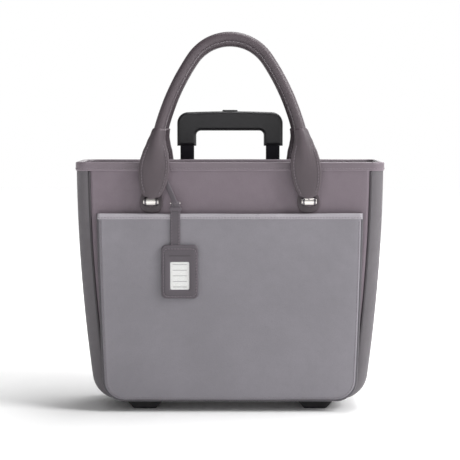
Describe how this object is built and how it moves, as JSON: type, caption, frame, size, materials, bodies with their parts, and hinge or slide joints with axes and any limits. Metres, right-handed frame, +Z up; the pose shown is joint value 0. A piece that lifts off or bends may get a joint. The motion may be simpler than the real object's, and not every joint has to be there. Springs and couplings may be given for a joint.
{
  "type": "rolling laptop case",
  "caption": "Soft leather tote on two rear wheels with twin carrying handles, telescopic trolley handle, front slip pocket, padded laptop sleeve and luggage tag.",
  "frame": {"origin": "on the ground under the middle of the bag's outer box", "axes": "+X to the bag's right seen from the front, -Y out of its front face, +Z up"},
  "size_m": [0.4224, 0.183, 0.518],
  "materials": {
    "body_leather": "smooth grained calf, mauve grey",
    "gusset_leather": "smooth grained calf, mauve grey",
    "pocket_leather": "smooth grained calf, cool grey",
    "handle_leather": "smooth grained calf, darker mauve grey",
    "tag_leather": "smooth grained calf with stitched border",
    "trim_leather": "folded edge binding",
    "lining_fabric": "woven nylon lining",
    "sleeve_fabric": "padded nylon",
    "board_plastic": "fibre-filled stiffener",
    "black_plastic": "moulded, satin black",
    "button_plastic": "moulded, fine texture",
    "tube_black": "black anodised",
    "steel": "zinc plated",
    "nickel": "polished nickel",
    "foot_rubber": "moulded black rubber",
    "tyre_rubber": "smooth skate tyre",
    "clear_window": "clear flexible window",
    "card_paper": "blank white card"
  },
  "bodies": {
    "bag": {"front_panel": "body_leather", "back_panel": "body_leather", "side_gusset": "gusset_leather", "front_pocket": "pocket_leather", "pocket_binding": "pocket_leather", "rim_binding": "trim_leather", "front_piping": "trim_leather", "rear_piping": "trim_leather", "lining": "lining_fabric", "base_board": "board_plastic", "back_board": "board_plastic", "laptop_sleeve": "sleeve_fabric", "organiser_pocket": "lining_fabric", "trolley_cover": "body_leather", "trolley_bezel": "black_plastic", "trolley_foot_bracket": "black_plastic", "trolley_outer_tubes": "tube_black", "handle_brackets": "nickel", "handle_pins": "nickel", "handle_rivets": "nickel", "front_foot_left": "foot_rubber", "front_foot_right": "foot_rubber", "foot_screws": "steel", "wheel_housing_left": "black_plastic", "wheel_housing_right": "black_plastic", "housing_screws": "steel", "wheel_axles": "steel", "tag_anchor": "nickel", "tag_loop": "tag_leather", "tag_bar": "nickel"},
    "front_handle": {"front_handle_grip": "handle_leather", "front_handle_tab_left": "handle_leather", "front_handle_tab_right": "handle_leather", "front_handle_ferrules": "nickel"},
    "rear_handle": {"rear_handle_grip": "handle_leather", "rear_handle_tab_left": "handle_leather", "rear_handle_tab_right": "handle_leather", "rear_handle_ferrules": "nickel"},
    "trolley_middle": {"trolley_middle_tubes": "tube_black", "middle_lock_blocks": "black_plastic", "middle_collars": "black_plastic"},
    "trolley_inner": {"trolley_inner_tubes": "tube_black", "inner_lock_blocks": "black_plastic", "grip_front_shell": "black_plastic", "grip_rear_shell": "black_plastic"},
    "trolley_release": {"release_button": "button_plastic", "release_yoke": "tube_black", "release_spring": "steel"},
    "wheel_left": {"tyre_left": "tyre_rubber", "wheel_hub_left": "black_plastic", "wheel_bearings_left": "steel"},
    "wheel_right": {"tyre_right": "tyre_rubber", "wheel_hub_right": "black_plastic", "wheel_bearings_right": "steel"},
    "luggage_tag": {"tag_strap": "tag_leather", "tag_keeper": "tag_leather", "tag_holder": "tag_leather", "tag_window": "clear_window", "tag_card": "card_paper"},
    "sleeve_closure": {"sleeve_strap": "sleeve_fabric"}
  },
  "joints": [
    {"name": "front_handle_fold", "type": "hinge", "parent": "bag", "child": "front_handle", "pos_m": [0, -0.08225, 0.289], "axis": [1, 0, 0], "range_deg": [0, 130]},
    {"name": "rear_handle_fold", "type": "hinge", "parent": "bag", "child": "rear_handle", "pos_m": [0, 0.07675, 0.289], "axis": [-1, 0, 0], "range_deg": [0, 130]},
    {"name": "trolley_lower_slide", "type": "slide", "parent": "bag", "child": "trolley_middle", "axis": [0, 0, 1], "range_m": [0, 0.25]},
    {"name": "trolley_upper_slide", "type": "slide", "parent": "trolley_middle", "child": "trolley_inner", "axis": [0, 0, 1], "range_m": [0, 0.25]},
    {"name": "release_press", "type": "slide", "parent": "trolley_inner", "child": "trolley_release", "axis": [0, 0, -1], "range_m": [0, 0.003], "stiffness_N_per_m": 400, "springref_m": -0.003},
    {"name": "wheel_left_spin", "type": "hinge", "parent": "bag", "child": "wheel_left", "pos_m": [-0.122, 0.06075, 0.03], "axis": [1, 0, 0], "continuous": true},
    {"name": "wheel_right_spin", "type": "hinge", "parent": "bag", "child": "wheel_right", "pos_m": [0.122, 0.06075, 0.03], "axis": [1, 0, 0], "continuous": true},
    {"name": "tag_swing", "type": "hinge", "parent": "bag", "child": "luggage_tag", "pos_m": [-0.074, -0.08375, 0.287], "axis": [-1, 0, 0], "range_deg": [0, 80]},
    {"name": "sleeve_strap_lift", "type": "hinge", "parent": "bag", "child": "sleeve_closure", "pos_m": [0, 0.05125, 0.3135], "axis": [-1, 0, 0], "range_deg": [0, 88]}
  ]
}
